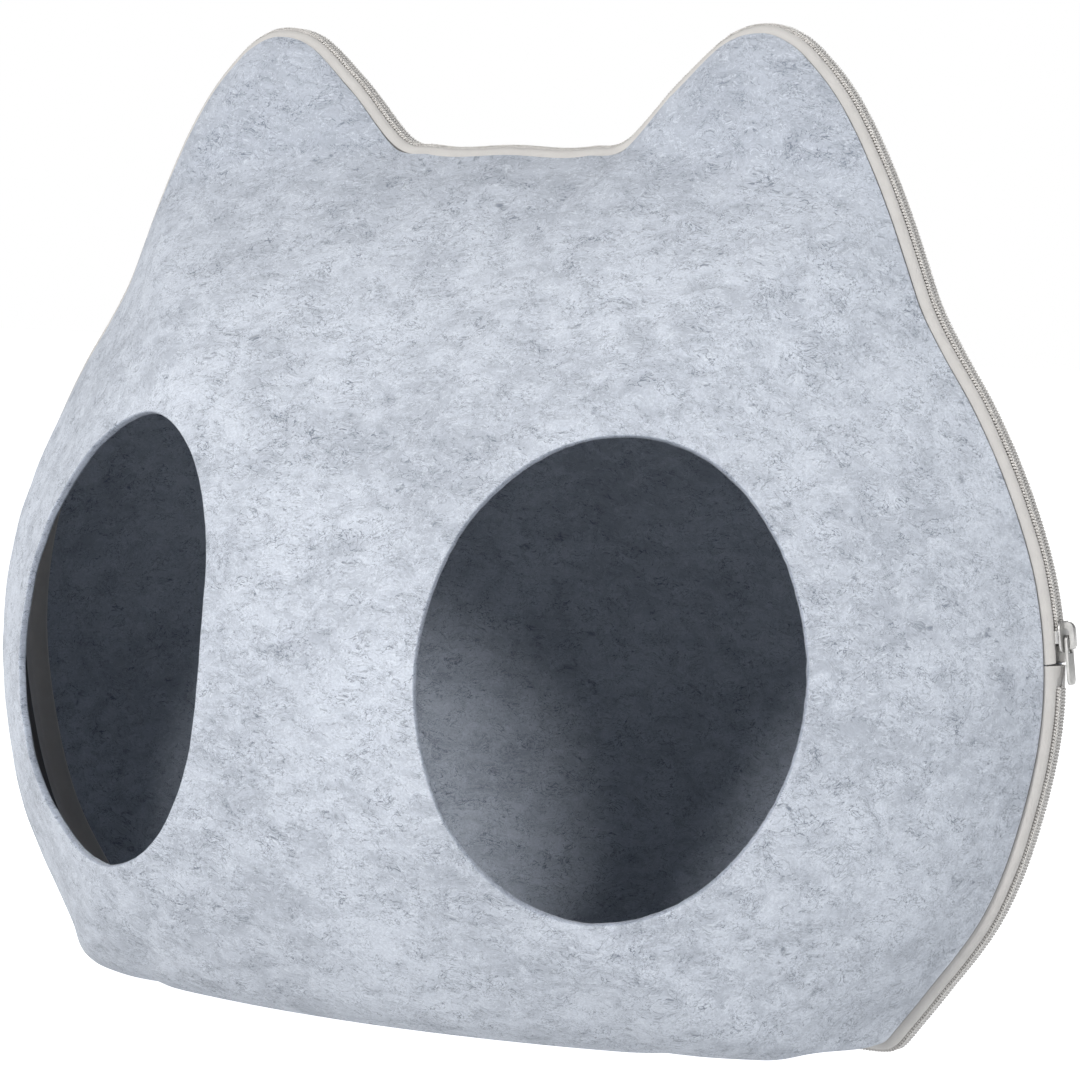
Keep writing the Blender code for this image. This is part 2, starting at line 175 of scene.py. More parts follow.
# closed or open mesh from arrays of triangles and quads; a closed one is
# turned so that its volume, the sum of a . (b x c) / 6, is positive
def makeMesh(name, points, faceArrays, material, uv=None, values=None, sharp=None, closed=True):
    points = np.asarray(points, float)
    if closed:
        volume = 0.0
        for f in faceArrays:
            for k in range(1, f.shape[1] - 1):
                a, b, c = points[f[:, 0]], points[f[:, k]], points[f[:, k + 1]]
                volume += float((a * np.cross(b, c)).sum())
        if volume < 0:
            faceArrays = [f[:, ::-1] for f in faceArrays]
    corners = np.concatenate([f.ravel() for f in faceArrays]).astype(np.int32)
    sizes = np.concatenate([np.full(len(f), f.shape[1]) for f in faceArrays])
    starts = np.concatenate([[0], np.cumsum(sizes)[:-1]]).astype(np.int32)
    mesh = bpy.data.meshes.new(name)
    mesh.vertices.add(len(points))
    mesh.vertices.foreach_set("co", points.astype(np.float32).ravel())
    mesh.loops.add(len(corners))
    mesh.loops.foreach_set("vertex_index", corners)
    mesh.polygons.add(len(starts))
    mesh.polygons.foreach_set("loop_start", starts)
    mesh.polygons.foreach_set("use_smooth", np.ones(len(starts), bool))
    if uv is not None:
        layer = mesh.uv_layers.new(name="UVMap")
        layer.data.foreach_set("uv", uv[corners].astype(np.float32).ravel())
    for key, value in (values or {}).items():
        layer = mesh.attributes.new(key, "FLOAT", "POINT")
        layer.data.foreach_set("value", np.asarray(value, np.float32))
    mesh.update(calc_edges=True)
    mesh.validate()
    if sharp is not None:
        mesh.set_sharp_from_angle(angle=math.radians(sharp))
    mesh.materials.append(material)
    item = bpy.data.objects.new(name, mesh)
    bpy.context.scene.collection.objects.link(item)
    return item


# vertex normals, the sum of (b - a) x (c - a) over the triangles round a point
def vertexNormals(points, triangles):
    a, b, c = (points[triangles[:, k]] for k in range(3))
    area = np.cross(b - a, c - a)
    total = np.zeros_like(points)
    for k in range(3):
        np.add.at(total, triangles[:, k], area)
    return total / np.maximum(np.linalg.norm(total, axis=1, keepdims=True), 1e-12)


# quads between the rings of a sweep, rows x count
def gridFaces(rows, count):
    i = np.arange(rows - 1)[:, None]
    j = np.arange(count)[None]
    k = (j + 1) % count
    here, above = i * count, (i + 1) * count
    return np.stack([here + j, here + k, above + k, above + j], 2).reshape(-1, 4)


# uneven surface: sum of sin(k . p + phase) / sqrt(14) for 14 waves of about one length
def unevenness(points, wavelength, seed):
    rng = np.random.default_rng(seed)
    k = rng.normal(size=(14, 3))
    size = np.linalg.norm(k, axis=1)
    k *= (2 * math.pi / wavelength * rng.uniform(0.65, 1.5, 14) / size)[:, None]
    phase = rng.uniform(0, 2 * math.pi, 14)
    return np.sin(points @ k.T + phase).sum(1) / math.sqrt(14)


class Nodes:
    def __init__(self, name):
        self.material = bpy.data.materials.new(name)
        self.material.use_nodes = True
        self.tree = self.material.node_tree
        self.shader = self.tree.nodes["Principled BSDF"]

    def add(self, kind, inputs=None, **settings):
        node = self.tree.nodes.new(kind)
        for key, value in settings.items():
            setattr(node, key, value)
        for key, value in (inputs or {}).items():
            self.put(node.inputs[key], value)
        return node

    def put(self, socket, value):
        if isinstance(value, bpy.types.NodeSocket):
            self.tree.links.new(value, socket)
        else:
            socket.default_value = value

    def math(self, operation, a, b=0.5):
        node = self.add("ShaderNodeMath", operation=operation)
        self.put(node.inputs[0], a)
        self.put(node.inputs[1], b)
        return node.outputs[0]

    def mapped(self, value, fromLow, fromHigh, toLow=0.0, toHigh=1.0):
        node = self.add("ShaderNodeMapRange", interpolation_type="SMOOTHSTEP")
        names = ("Value", "From Min", "From Max", "To Min", "To Max")
        for key, v in zip(names, (value, fromLow, fromHigh, toLow, toHigh)):
            self.put(node.inputs[key], v)
        return node.outputs["Result"]

    def mix(self, fac, a, b, blend="MIX"):
        node = self.add("ShaderNodeMix", data_type="RGBA", blend_type=blend)
        self.put(node.inputs["Factor"], fac)
        self.put(node.inputs["A"], a)
        self.put(node.inputs["B"], b)
        return node.outputs["Result"]

    def noise(self, vector, scale, detail=2.0, rough=0.5, output="Fac"):
        inputs = {"Vector": vector, "Scale": scale, "Detail": detail, "Roughness": rough}
        return self.add("ShaderNodeTexNoise", inputs).outputs[output]

    def bump(self, height, strength, distance):
        inputs = {"Height": height, "Strength": strength, "Distance": distance}
        return self.add("ShaderNodeBump", inputs).outputs["Normal"]

    # vectors a and b put together, part by part
    def vector(self, operation, a, b):
        return self.add("ShaderNodeVectorMath", {0: a, 1: b}, operation=operation).outputs[0]

    def set(self, **values):
        for key, value in values.items():
            self.put(self.shader.inputs[key.replace("_", " ")], value)


felt = {
    "thick": 0.0030,
    "thickAtSeam": 0.0018,
    "taper": 0.008,
    "spacing": 0.0034,  # between the mesh points of the open face
    "around": 540,  # mesh points round the rim
    "perLength": (0.016, 0.12),  # metres and radians of bend that count the same there
    "field": (0.26, 0.41),  # half width and height that the open face's points fill
    "wallRows": (0.75, 0.5, 0.25, 0.0),  # shares of the wall's depth
    "rimRows": (0.00018, 0.0007, 0.0015, 0.0026, 0.0040, 0.0058, 0.0082, 0.0110, 0.0142, 0.0176),
    "swell": ((0.085, 0.00045, 3), (0.024, 0.00012, 4)),  # wavelength, height, seed
    "swellFrom": 0.012,  # and none of it at the rim
    "seamClear": (0.0003, 0.002),  # inner skin this far from the seam, over this length
    "pale": (0.750, 0.792, 0.874),
    "deep": (0.332, 0.360, 0.416),
    "fibreDark": (0.130, 0.152, 0.198),
    "fibreLight": (0.90, 0.94, 1.0),
    "cloud": 0.56,  # shares of the deep colour in clouds and in the finest grain
    "grain": 0.35,
    "ears": (0.27, 0.37),  # heights between which the painted shade over the ears grows
    "earPaintedShade": 0.42,
    "drift": 0.012,  # how far the fibres wander
    "bump": 0.65,
    "bumpDepth": 0.0007,
    "knots": 0.80,  # strength of the small tangles of fibre
    "leanTurn": (0.25, 0.35, 0.15),  # fibres lie a little more along one way
    "leanStretch": (0.66, 1.0, 1.2),
    # scale, detail and roughness of each noise
    "broadNoise": (8.0, 2.0, 0.5),
    "patchNoise": (22.0, 3.0, 0.55),
    "driftNoise": (60.0, 2.0, 0.6),
    "cloudNoise": (95.0, 5.0, 0.74),
    "knotNoise": (135.0, 4.0, 0.72),
    "grainNoise": (1100.0, 3.0, 0.7),
    "wispLayer": 2,  # the layer that pale wisps run beside
    # scale, detail, level, width, cluster scale, from, to, share
    "fibres": (
        (110, 3, 0.50, 0.013, 62, 0.46, 0.64, 0.80),
        (190, 3, 0.47, 0.017, 88, 0.45, 0.64, 0.74),
        (310, 2, 0.53, 0.023, 120, 0.43, 0.64, 0.66),
        (560, 2, 0.50, 0.034, 170, 0.39, 0.64, 0.58),
    ),
    # painted shade on the inner skin: its colour is multiplied by this
    "insidePaintedShade": (0.68, 0.70, 0.72),
    "cutTint": (0.74, 0.76, 0.80),
}

eye = {
    "x": 0.1148,
    "z": 0.1508,
    "halfWidth": 0.0676,
    "halfHeight": 0.0903,
    "waves": ((1, 0.0043, -0.0434), (2, -0.0095, -0.0130), (3, 0.0174, 0.0025)),
    "around": 230,
    "rings": (0.0005, 0.0017, 0.0036, 0.0062, 0.0092),  # outwards from the cut
    # section of the cut: distance in from the outside face, overhang into the hole
    "cut": ((0.00012, -0.00020), (0.00045, 0.00002), (0.0010, 0.00008), (0.0016, 0.00004),
            (0.0022, 0.00008), (0.00262, 0.0), (0.00290, -0.00022)),
    "fray": 0.00010,  # unevenness of the cut, and its wavelength
    "frayWave": 0.006,
}


# oval r(t) = ellipse radius x (1 + sum c cos(wt) + s sin(wt)), t = 0 outwards
def eyeRadius(t):
    r = 1 / np.hypot(np.cos(t) / eye["halfWidth"], np.sin(t) / eye["halfHeight"])
    return r * (1 + sum(c * np.cos(w * t) + s * np.sin(w * t) for w, c, s in eye["waves"]))


# slope of a closed row of numbers, (next - previous) / 2
def ringSlope(v):
    return (np.roll(v, -1) - np.roll(v, 1)) / 2


# the oval's points moved off by a distance along its own normal, side +1 or -1
def eyeLoop(side, off):
    t = np.linspace(0, 2 * math.pi, eye["around"], endpoint=False)
    r = eyeRadius(t)
    x, z = r * np.cos(t), r * np.sin(t)
    dx, dz = ringSlope(x), ringSlope(z)
    size = np.hypot(dx, dz)
    nx, nz = dz / size, -dx / size
    points = np.stack([side * (eye["x"] + x + nx * off), eye["z"] + z + nz * off], 1)
    return points, np.stack([side * nx, nz], 1)


# distance from each point to the nearest target, and which one that is
def nearestPoint(points, targets):
    apart, which = [], []
    for part in np.array_split(points, max(1, len(points) // 2000)):
        square = ((part[:, None] - targets[None]) ** 2).sum(2)
        apart.append(np.sqrt(square.min(1)))
        which.append(square.argmin(1))
    return np.concatenate(apart), np.concatenate(which)


# one moulded half: outer skin as a height field over X and Z, a wall back to
# the seam, and an inner skin at outer - thickness x normal
def feltShell(name, side, openings, material, node):
    count = felt["around"] + 1
    turn = spacedTurns(shellRadius, -math.pi / 2, 1.5 * math.pi, count, *felt["perLength"])[:-1]
    x, z, nx, nz = outlineFrame(shellRadius, turn)
    rim, out = np.stack([x, z], 1), np.stack([nx, nz], 1)

    groups, depths = [rim], [np.zeros(len(rim))]
    for d in felt["rimRows"]:
        row = rim - out * d
        row = row[nearestPoint(row, rim)[0] > d * 0.97]  # rows cross where the rim is hollow
        groups.append(row)
        depths.append(np.full(len(row), d))
    loops = []
    for eyeSide in openings:
        for k, off in enumerate(eye["rings"]):
            ring, _ = eyeLoop(eyeSide, off)
            if k == 0:
                loops.append((sum(len(g) for g in groups), eyeSide))
            groups.append(ring)
            depths.append(np.full(len(ring), 1.0))
    step = felt["spacing"]
    wide, tall = felt["field"]
    gx, gz = np.meshgrid(np.arange(-wide, wide, step), np.arange(0, tall, step * math.sqrt(0.75)))
    gx[1::2] += step / 2
    grid = np.stack([gx.ravel(), gz.ravel()], 1)
    rise = grid[:, 1] - head["crown"]
    grid = grid[np.hypot(grid[:, 0], rise) < shellRadius(np.arctan2(rise, grid[:, 0]))]
    grid = grid[nearestPoint(grid, rim)[0] > felt["rimRows"][-1] + step * 0.6]
    around = eye["rings"][-1] + step * 0.6
    for eyeSide in openings:
        ex, ez = grid[:, 0] * eyeSide - eye["x"], grid[:, 1] - eye["z"]
        grid = grid[np.hypot(ex, ez) > eyeRadius(np.arctan2(ez, ex)) + around]
    groups.append(grid)
    depths.append(np.full(len(grid), 1.0))
    flatPoints, rimDistance = np.concatenate(groups), np.concatenate(depths)
    n, m = len(rim), eye["around"]
    edges = [(i, (i + 1) % n) for i in range(n)]
    for start, _ in loops:
        edges += [(start + i, start + (i + 1) % m) for i in range(m)]
    made = delaunay_2d_cdt([Vector(p) for p in flatPoints], edges, [], 1, 1e-7)
    plan = np.array([tuple(p) for p in made[0]])
    triangles = np.array([f for f in made[2]], int)
    place = np.full(len(flatPoints), -1)
    source = np.zeros(len(plan), int)
    for new, old in enumerate(made[3]):
        for o in old:
            place[o] = new
        source[new] = old[0] if old else 0
    for start, _ in loops:  # inside an opening every corner lies on its loop
        onLoop = np.isin(triangles, place[start:start + m]).all(1)
        triangles = triangles[~onLoop]

    depth = faceDepth(plan[:, 0], plan[:, 1], rimDistance[source])
    outer = np.stack([plan[:, 0], -head["seamHalf"] - depth, plan[:, 1]], 1)
    wall = depth[place[:n]]
    shares, seam = felt["wallRows"], -head["seamHalf"]
    wallRows = [np.stack([rim[:, 0], seam - wall * share, rim[:, 1]], 1) for share in shares]
    count = len(outer)
    outer = np.concatenate([outer] + wallRows)
    rings = [place[:n]] + [count + k * n + np.arange(n) for k in range(len(shares))]
    for a, b in zip(rings[:-1], rings[1:]):
        a2, b2 = np.roll(a, -1), np.roll(b, -1)
        triangles = np.concatenate([triangles, np.stack([a, b2, a2], 1), np.stack([a, b, b2], 1)])
    normal = vertexNormals(outer, triangles)
    if normal[triangles[0, 0], 1] > 0:
        triangles, normal = triangles[:, ::-1], -normal
    fade = np.clip(rimDistance[source] / felt["swellFrom"], 0, 1)
    fade = np.concatenate([fade, np.zeros(len(shares) * n)])
    for wavelength, height, seed in felt["swell"]:
        uneven = unevenness(outer * (1, side, 1), wavelength, seed)
        outer += normal * (fade * height * uneven)[:, None]
    toSeam = rimDistance[source] + wall[nearestPoint(plan, rim)[1]]
    run = np.concatenate([toSeam] + [wall * share for share in shares])
    thin, full = felt["thickAtSeam"], felt["thick"]
    thick = thin + (full - thin) * np.clip(run / felt["taper"], 0, 1)
    normal[rings[-1], 1] = 0
    normal[rings[-1]] /= np.linalg.norm(normal[rings[-1]], axis=1, keepdims=True)
    inner = outer - normal * thick[:, None]
    clear, over = felt["seamClear"]
    inner[:, 1] = np.minimum(inner[:, 1], seam - clear * np.clip(run / over, 0, 1))

    total = len(outer)
    points = [outer, inner]
    innerShare = [np.zeros(total), np.ones(total)]
    cutShare = [np.zeros(total), np.zeros(total)]
    faces = [triangles, triangles[:, ::-1] + total]
    last, after = rings[-1], np.roll(rings[-1], -1)
    faces.append(np.stack([last, after, after + total, last + total], 1)[:, ::-1])
    offset = 2 * total
    for start, eyeSide in loops:
        loop = place[start:start + m]
        _, away = eyeLoop(eyeSide, 0)
        hole = -np.stack([away[:, 0], np.zeros(m), away[:, 1]], 1)
        hole -= normal[loop] * (hole * normal[loop]).sum(1, keepdims=True)
        hole /= np.linalg.norm(hole, axis=1, keepdims=True)
        rough = unevenness(outer[loop], eye["frayWave"], 9 + eyeSide)
        rows = [loop]
        for depthIn, over in eye["cut"]:
            through = depthIn / felt["thick"]
            shift = eye["rings"][0] + over + eye["fray"] * rough * (0.5 + through)
            points.append(outer[loop] - normal[loop] * depthIn + hole * shift[:, None])
            innerShare.append(np.full(m, min(1.0, through) ** 3))
            cutShare.append(np.full(m, 1.0))
            rows.append(offset + np.arange(m))
            offset += m
        rows.append(loop + total)
        for a, b in zip(rows[:-1], rows[1:]):
            faces.append(np.stack([a, np.roll(a, -1), np.roll(b, -1), b], 1))
    points = np.concatenate(points)
    points[:, 1] *= side
    item = makeMesh(
        name, points, faces[:2] + turnStrips(faces[0], faces[2:]), material,
        values={"inner": np.concatenate(innerShare), "cut": np.concatenate(cutShare)},
    )
    finishPiece(item, node)


# a strip is turned where its first edge runs the same way as in the outer
# skin, and those that follow it round an opening turn with it
def turnStrips(skin, strips):
    edges = np.concatenate([skin[:, [0, 1]], skin[:, [1, 2]], skin[:, [2, 0]]])
    used = {(int(a), int(b)) for a, b in edges}
    done, flip = [], False
    for strip in strips:
        a, b = int(strip[0, 0]), int(strip[0, 1])
        if (a, b) in used or (b, a) in used:
            flip = (a, b) in used
        done.append(strip[:, ::-1] if flip else strip)
    return done


# every piece rides on the one body, and some take the place of a solid
def finishPiece(item, node):
    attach(item, "root")
    if node:
        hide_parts(node)


# needled felt: pale ground, cloudy darker patches, thin curling fibres where a
# noise crosses a fixed value, |noise - level| < width, gathered in clusters
def feltMaterial(name):
    m = Nodes(name)
    place = m.add("ShaderNodeTexCoord").outputs["Object"]
    drift = m.noise(place, *felt["driftNoise"], "Color")
    lean = m.add("ShaderNodeMapping", {
        "Vector": place, "Rotation": felt["leanTurn"], "Scale": felt["leanStretch"],
    }).outputs[0]
    bent = m.vector("MULTIPLY", m.vector("SUBTRACT", drift, (0.5, 0.5, 0.5)), (felt["drift"],) * 3)
    bent = m.vector("ADD", lean, bent)

    broad = m.noise(place, *felt["broadNoise"])
    patches = m.noise(place, *felt["patchNoise"])
    clouds = m.noise(bent, *felt["cloudNoise"])
    grain = m.noise(place, *felt["grainNoise"])
    shade = m.math("ADD", m.math("MULTIPLY", patches, 0.35), m.math("MULTIPLY", clouds, 0.65))
    deep, dark, light = ((*felt[key], 1) for key in ("deep", "fibreDark", "fibreLight"))
    colour = m.mix(m.mapped(broad, 0.34, 0.62, 0.16, 0.0), (*felt["pale"], 1), deep)
    height = m.add("ShaderNodeSeparateXYZ", {0: place}).outputs["Z"]
    # painted shade: the felt turns towards the deep colour with height, darkest over the ears
    colour = m.mix(m.mapped(height, *felt["ears"], 0.0, felt["earPaintedShade"]), colour, deep)
    colour = m.mix(m.mapped(shade, 0.36, 0.60, felt["cloud"], 0.0), colour, deep)
    colour = m.mix(m.mapped(grain, 0.30, 0.72, felt["grain"], 0.0), colour, deep)
    for k, (scale, detail, level, width, cluster, low, high, share) in enumerate(felt["fibres"]):
        there = m.add("ShaderNodeMapping", {
            "Vector": bent,
            "Location": (3.1 * k, 1.7 * k, 0.4 * k),
            "Rotation": (0.4 * k, 0.9 * k, 0.3 * k),
        }).outputs[0]
        strand = m.noise(there, scale, detail, 0.66)
        line = m.mapped(m.math("ABSOLUTE", m.math("SUBTRACT", strand, level)), 0.0, width, 1.0, 0.0)
        line = m.math("MULTIPLY", line, m.mapped(m.noise(there, cluster, 2.0, 0.65), low, high))
        colour = m.mix(m.math("MULTIPLY", line, share), colour, dark)
        if k == felt["wispLayer"]:
            beside = m.math("ABSOLUTE", m.math("SUBTRACT", strand, level - 0.10))
            colour = m.mix(m.mapped(beside, 0.0, width, 0.40, 0.0), colour, light)
    knots = m.mapped(m.noise(bent, *felt["knotNoise"]), 0.60, 0.76)
    colour = m.mix(m.math("MULTIPLY", knots, felt["knots"]), colour, dark)

    cut = m.add("ShaderNodeAttribute", attribute_name="cut").outputs["Fac"]
    inner = m.add("ShaderNodeAttribute", attribute_name="inner").outputs["Fac"]
    colour = m.mix(cut, colour, m.mix(1.0, colour, (*felt["cutTint"], 1), "MULTIPLY"))
    # painted shade: the inner skin's colour is multiplied darker
    colour = m.mix(inner, colour, m.mix(1.0, colour, (*felt["insidePaintedShade"], 1), "MULTIPLY"))

    relief = m.math("ADD", m.math("MULTIPLY", clouds, 0.9), m.math("MULTIPLY", grain, 0.5))
    m.set(Base_Color=colour, Roughness=0.94, Normal=m.bump(relief, felt["bump"], felt["bumpDepth"]))
    m.set(Sheen_Weight=0.2, Sheen_Roughness=0.6, Specular_IOR_Level=0.2)
    return m.material


feltFront = feltMaterial("feltFront")
feltBack = feltMaterial("feltBack")
feltShell("frontShell", 1, (1, -1), feltFront, "front_shell")
feltShell("backShell", -1, (), feltBack, "back_shell")
print("felt halves done")

zipper = {
    "sliderAngle": 6.05,  # where the slider is parked, degrees above the crown
    # degrees from the slider to where each strip starts, and to where it ends
    # after a turn round the rim
    "coilEnds": (-4.15, -0.1),
    "tapeEnds": (-2.50, -2.05),
    "tapeThick": 0.0008,
    "tapeRows": 760,
    # half section at the sides and along the base: off the middle, under the crest
    "tapeSide": (
        (0.0004, 0.0023), (0.0018, 0.0023), (0.0031, 0.0022), (0.0039, 0.0013),
        (0.0048, 0.0012), (0.0061, 0.0021), (0.0071, 0.0035), (0.0076, 0.0052),
        (0.0079, 0.0068), (0.0080, 0.0083), (0.0081, 0.0095),
    ),
    "tapeBase": (
        (0.0004, 0.0026), (0.0018, 0.0026), (0.0031, 0.0026), (0.0039, 0.0024),
        (0.0050, 0.0025), (0.0063, 0.0031), (0.0072, 0.0039), (0.0077, 0.0047),
        (0.0080, 0.0054), (0.0082, 0.0060), (0.0084, 0.0066),
    ),
    "tapeWide": 0.0135,  # flat width
    "cornerDip": 0.0012,
    "wave": (0.00012, 0.030),  # height and length of the tape's unevenness
    "pitch": 0.00128,
    "wire": 0.00062,
    "coilMiddle": 0.00150,
    "coilHalfWidth": 0.00132,
    "coilDepth": 0.00120,
    "coilHalfHeight": 0.00058,
    "baseSink": 0.0003,  # coil and stitches lie this much lower along the base
    "stitchOff": 0.00262,
    "stitchDepth": 0.00022,
    "stitch": (0.00056, 0.00034, 0.00030),  # half length, half width, half height
    "stitchLean": 0.28,
    "stitchDrift": (0.00004, 0.00003),  # along the chain and in depth
    "coilSquare": 0.7,  # under 1 the loops are wider at their ends
    "tapeColour": (0.740, 0.715, 0.690),
    "tapeHollowPaintedShade": (0.40, 0.38, 0.355),  # painted shade between the ribs of the weave
    "tapeWorn": (0.44, 0.42, 0.40),
    "tapeFuzz": (0.72, 0.70, 0.68),
    "tapeShadow": (0.055, 0.055, 0.060),
    "weave": (0.00050, 0.00042),  # rib spacing along and across
    # scale, detail and roughness of each noise; strength and depth of each bump
    "softNoise": (160.0, 3.0, 0.6),
    "fuzzNoise": (1400.0, 2.0, 0.5),
    "threadNoise": (420.0, 3.0, 0.6),
    "wornNoise": (45.0, 2.0, 0.5),
    "tapeBump": (0.45, 0.00018),
    "threadBump": (0.3, 0.0001),
    "tapeTucked": (0.0091, 0.0096),  # from here across the tape it is under the felt
    # base, darker tint, roughness
    "coilLook": ((0.740, 0.715, 0.690), (0.46, 0.44, 0.42), 0.42),
    "threadLook": ((0.760, 0.740, 0.710), (0.50, 0.48, 0.45), 0.75),
    "startWrap": 0.010,  # length over which the lower end covers its coil
    "wrapUp": (0.0026, 0.0025, 0.0020, 0.0004),  # how far its first points rise
    "wrapIn": (0.0, 0.0, 0.0004, 0.0008),  # and move towards the middle
    "endRun": 0.012,  # length over which the upper end clears the slider
    "endClear": (0.0010, 0.0008, 0.0004),
    "endSlant": 0.0014,  # the upper end runs on by this at its outer edge,
    "slantOver": 0.007,  # growing over this much of its width
}


# length along the crest from the track's start, and turn, on a fine table
def trackTable(ends):
    start = math.radians(zipper["sliderAngle"] + ends[0])
    end = math.radians(zipper["sliderAngle"] + ends[1]) - 2 * math.pi
    turn = np.linspace(start, end, 24000)
    x, z, _, _ = outlineFrame(rimRadius, turn)
    return np.concatenate([[0], np.cumsum(np.hypot(np.diff(x), np.diff(z)))]), turn


# a section (off, depth) carried along the rim: P = crest - normal x depth, Y = off
def alongRim(turn, off, depth, side):
    x, z, nx, nz = outlineFrame(rimRadius, turn)
    shape = (slice(None),) * turn.ndim + (None,) * (off.ndim - turn.ndim)
    return np.stack([x[shape] - nx[shape] * depth, side * off, z[shape] - nz[shape] * depth], -1)


# solid from a row of rings: quads from each ring to the next, and at both ends
# a fan of triangles to the ring's middle, the mean of its points
def closedSweep(name, grid, material, uv=None, sharp=None):
    rows, count = grid.shape[:2]
    middle = grid[[0, -1]].mean(1)
    points = np.concatenate([grid.reshape(-1, 3), middle])
    j = np.arange(count)
    k = (j + 1) % count
    last = (rows - 1) * count
    caps = [
        np.stack([np.full(count, rows * count), k, j], 1),
        np.stack([np.full(count, rows * count + 1), last + j, last + k], 1),
    ]
    if uv is not None:
        uv = np.concatenate([uv.reshape(-1, 2), uv[[0, -1]].mean(1)])
    return makeMesh(name, points, [gridFaces(rows, count)] + caps, material, uv=uv, sharp=sharp)


# woven tape: the section's top line and the same line a thickness further in
def zipTape(name, side, material, node):
    length, fine = trackTable(zipper["tapeEnds"])
    s = np.linspace(0, length[-1], zipper["tapeRows"])
    turn = np.interp(s, length, fine)
    base = baseShare(turn)[:, None, None]
    atSide, atBase = np.array(zipper["tapeSide"]), np.array(zipper["tapeBase"])
    top = atSide[None] * (1 - base) + atBase[None] * base
    wrap = np.clip(1 - s / zipper["startWrap"], 0, 1)[:, None] ** 0.5
    top[:, :4, 1] -= wrap * np.array(zipper["wrapUp"])
    top[:, :4, 0] -= wrap * np.array(zipper["wrapIn"])
    last = np.clip(1 - (s[-1] - s) / zipper["endRun"], 0, 1)[:, None]
    top[:, :3, 0] += last * np.array(zipper["endClear"])
    corner = 4 * (base * (1 - base))[:, :, 0]  # 1 at the felt's corner, 0 away from it
    top[:, 5:, 1] += zipper["cornerDip"] * corner
    high, long = zipper["wave"]
    wave = unevenness(np.stack([s, 0 * s, 0 * s], 1), long, 20 + side)
    top[:, 3:7, 1] -= high * wave[:, None]
    along = np.gradient(top, axis=1)
    size = np.linalg.norm(along, axis=2)
    under = np.stack([-along[:, :, 1] / size, along[:, :, 0] / size], 2)
    section = np.concatenate([top, (top + under * zipper["tapeThick"])[:, ::-1]], 1)
    across = np.clip(section[:, :, 0] / zipper["slantOver"], 0, 1)
    slant = zipper["endSlant"] * last * last * across
    ahead = s[:, None] + slant
    turn = np.interp(ahead, length, fine) - np.maximum(ahead - length[-1], 0) / rimRadius(fine[-1:])
    grid = alongRim(turn, section[:, :, 0], section[:, :, 1], side)
    v = np.concatenate([[0], np.cumsum(np.hypot(*np.diff(atSide.T)))])
    uv = np.stack(np.broadcast_arrays(s[:, None], np.concatenate([v, -v[::-1]])[None]), 2)
    item = closedSweep(name, grid, material, uv, sharp=60)
    finishPiece(item, node)


# coil: a flat helix round the tape's edge, off = middle + w |cos(phi)|^p with
# the sign of cos, depth = middle - h sin(phi), phi = 2 pi s / pitch, as a wire
# of four sides
def zipCoil(name, side, material, node):
    length, fine = trackTable(zipper["coilEnds"])
    pitch, per = zipper["pitch"], 8
    s = np.arange(0.001, length[-1] - 0.001, pitch / per)
    phase = 2 * math.pi * s / pitch + (0 if side < 0 else math.pi)
    turn = np.interp(s, length, fine)
    bulge = np.sign(np.cos(phase)) * np.abs(np.cos(phase)) ** zipper["coilSquare"]
    off = zipper["coilMiddle"] + zipper["coilHalfWidth"] * bulge
    depth = zipper["coilDepth"] + zipper["baseSink"] * baseShare(turn)
    depth = depth - zipper["coilHalfHeight"] * np.sin(phase)
    path = alongRim(turn, off, depth, side)
    tangent = np.gradient(path, axis=0)
    tangent /= np.linalg.norm(tangent, axis=1, keepdims=True)
    _, _, nx, nz = outlineFrame(rimRadius, turn)
    run = np.stack([-nz, 0 * nx, nx], 1)
    a = run - tangent * (run * tangent).sum(1, keepdims=True)
    a /= np.linalg.norm(a, axis=1, keepdims=True)
    b = np.cross(tangent, a)
    corner = np.arange(4) * math.pi / 2 + math.pi / 4
    ring = np.cos(corner)[None, :, None] * a[:, None] + np.sin(corner)[None, :, None] * b[:, None]
    finishPiece(closedSweep(name, path[:, None] + zipper["wire"] * ring, material), node)


# stitch beads over the coil's outer edge: small pillows, radius in proportion to
# sqrt(1 - (t / length)^2) at three rings of six points, one for each loop
def stitches(name, side, material):
    length, fine = trackTable(zipper["coilEnds"])
    s = np.arange(0.0020, length[-1] - 0.001, zipper["pitch"])
    rng = np.random.default_rng(31 + side)
    drift, driftDeep = zipper["stitchDrift"]
    s = s + rng.normal(0, drift, len(s))
    turn = np.interp(s, length, fine)
    _, _, nx, nz = outlineFrame(rimRadius, turn)
    off = np.full(len(s), zipper["stitchOff"])
    depth = zipper["stitchDepth"] + zipper["baseSink"] * baseShare(turn)
    depth = depth + rng.normal(0, driftDeep, len(s))
    centre = alongRim(turn, off, depth, side)
    run = np.stack([-nz, 0 * nx, nx], 1) + side * zipper["stitchLean"] * np.array([0, 1.0, 0])
    run /= np.linalg.norm(run, axis=1, keepdims=True)
    out = np.stack([nx, 0 * nx, nz], 1)
    cross = np.cross(run, out)
    halfLong, halfWide, halfHigh = zipper["stitch"]
    t = np.array([-0.62, 0.0, 0.62])
    radius = np.sqrt(1 - t * t)
    angle = np.arange(6) * math.pi / 3
    local = np.stack([
        np.repeat(t * halfLong, 6),
        (radius[:, None] * np.cos(angle)[None]).ravel() * halfWide,
        (radius[:, None] * np.sin(angle)[None]).ravel() * halfHigh,
    ], 1)
    local = np.concatenate([local, [[-halfLong, 0, 0], [halfLong, 0, 0]]])
    points = centre[:, None] + local @ np.stack([run, cross, out], 1)
    j = np.arange(6)
    k = (j + 1) % 6
    quads = gridFaces(3, 6)
    tips = np.concatenate([
        np.stack([np.full(6, 18), k, j], 1),
        np.stack([np.full(6, 19), 12 + j, 12 + k], 1),
    ])
    first = (np.arange(len(s)) * len(local))[:, None, None]
    faces = [(quads[None] + first).reshape(-1, 4), (tips[None] + first).reshape(-1, 3)]
    finishPiece(makeMesh(name, points.reshape(-1, 3), faces, material), None)


